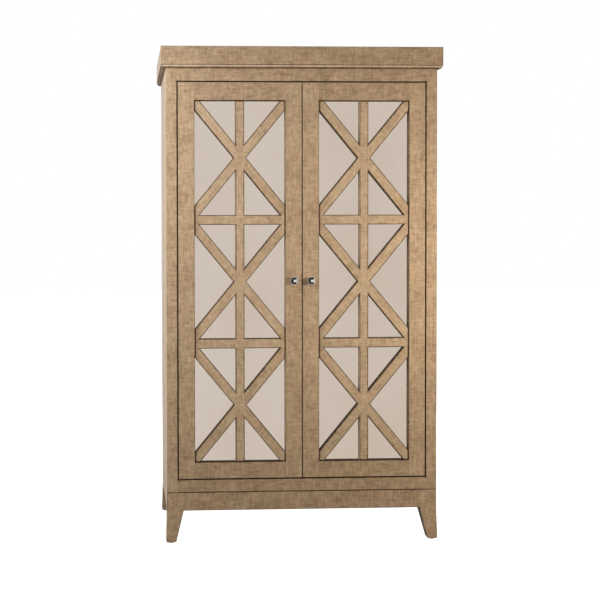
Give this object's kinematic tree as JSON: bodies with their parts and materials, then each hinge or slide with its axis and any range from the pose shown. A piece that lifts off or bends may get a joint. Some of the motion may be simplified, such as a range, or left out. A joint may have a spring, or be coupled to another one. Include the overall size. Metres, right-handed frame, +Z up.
{
  "type": "armoire",
  "caption": "Free-standing armoire with lattice-over-mirror doors, hanging rail and upper shelf, moulded cap and tapered legs, in a woven tan finish.",
  "frame": {"origin": "on the floor, under the middle of the whole object's box from the knob tips to the back", "axes": "+Z up, +X to the right seen from the front, the doors face -Y"},
  "size_m": [1.158, 0.63, 2.032],
  "materials": {
    "woven_wrap": "wood wrapped in tan woven raffia, clear matt coat, darker glaze worked into the edges",
    "inside_board": "plain tan lacquered board, matt",
    "mirror": "clear mirror glass",
    "polished_nickel": "polished nickel",
    "dark_bronze": "dark bronze, satin",
    "steel": "satin steel",
    "black_plastic": "black plastic, matt"
  },
  "bodies": {
    "carcass": {"left_side_panel": "woven_wrap", "right_side_panel": "woven_wrap", "back_panel": "inside_board", "bottom_deck": "inside_board", "top_deck": "inside_board", "cap_back_rail": "inside_board", "upper_shelf": "inside_board", "face_stile_left": "woven_wrap", "face_stile_right": "woven_wrap", "face_rail_top": "woven_wrap", "face_rail_bottom": "woven_wrap", "cap_front": "woven_wrap", "cap_left": "woven_wrap", "cap_right": "woven_wrap", "cap_top_board": "woven_wrap", "base_rail_front": "woven_wrap", "base_rail_back": "woven_wrap", "base_rail_left": "woven_wrap", "base_rail_right": "woven_wrap", "leg_front_left": "woven_wrap", "leg_front_right": "woven_wrap", "leg_back_left": "woven_wrap", "leg_back_right": "woven_wrap", "glide_front_left": "black_plastic", "glide_front_right": "black_plastic", "glide_back_left": "black_plastic", "glide_back_right": "black_plastic", "hanging_rail": "steel", "rail_socket_left": "steel", "rail_socket_right": "steel", "magnetic_catch": "black_plastic", "left_frame_leaf_top": "dark_bronze", "left_frame_leaf_bottom": "dark_bronze", "right_frame_leaf_top": "dark_bronze", "right_frame_leaf_bottom": "dark_bronze"},
    "left_door": {"left_door_hinge_stile": "woven_wrap", "left_door_meeting_stile": "woven_wrap", "left_door_top_rail": "woven_wrap", "left_door_bottom_rail": "woven_wrap", "left_door_lattice": "woven_wrap", "left_door_mirror": "mirror", "left_door_back_board": "inside_board", "left_door_knob": "polished_nickel", "left_door_knob_screw": "steel", "left_door_leaf_top": "dark_bronze", "left_door_leaf_bottom": "dark_bronze", "left_door_catch_strike": "steel"},
    "right_door": {"right_door_hinge_stile": "woven_wrap", "right_door_meeting_stile": "woven_wrap", "right_door_top_rail": "woven_wrap", "right_door_bottom_rail": "woven_wrap", "right_door_lattice": "woven_wrap", "right_door_mirror": "mirror", "right_door_back_board": "inside_board", "right_door_knob": "polished_nickel", "right_door_knob_screw": "steel", "right_door_leaf_top": "dark_bronze", "right_door_leaf_bottom": "dark_bronze", "right_door_catch_strike": "steel"}
  },
  "joints": [
    {"name": "left_door_hinge", "type": "hinge", "parent": "carcass", "child": "left_door", "pos_m": [-0.5125, -0.289, 1.0761], "axis": [0, 0, -1], "range_deg": [0, 170]},
    {"name": "right_door_hinge", "type": "hinge", "parent": "carcass", "child": "right_door", "pos_m": [0.5125, -0.289, 1.0761], "axis": [0, 0, 1], "range_deg": [0, 170]}
  ]
}
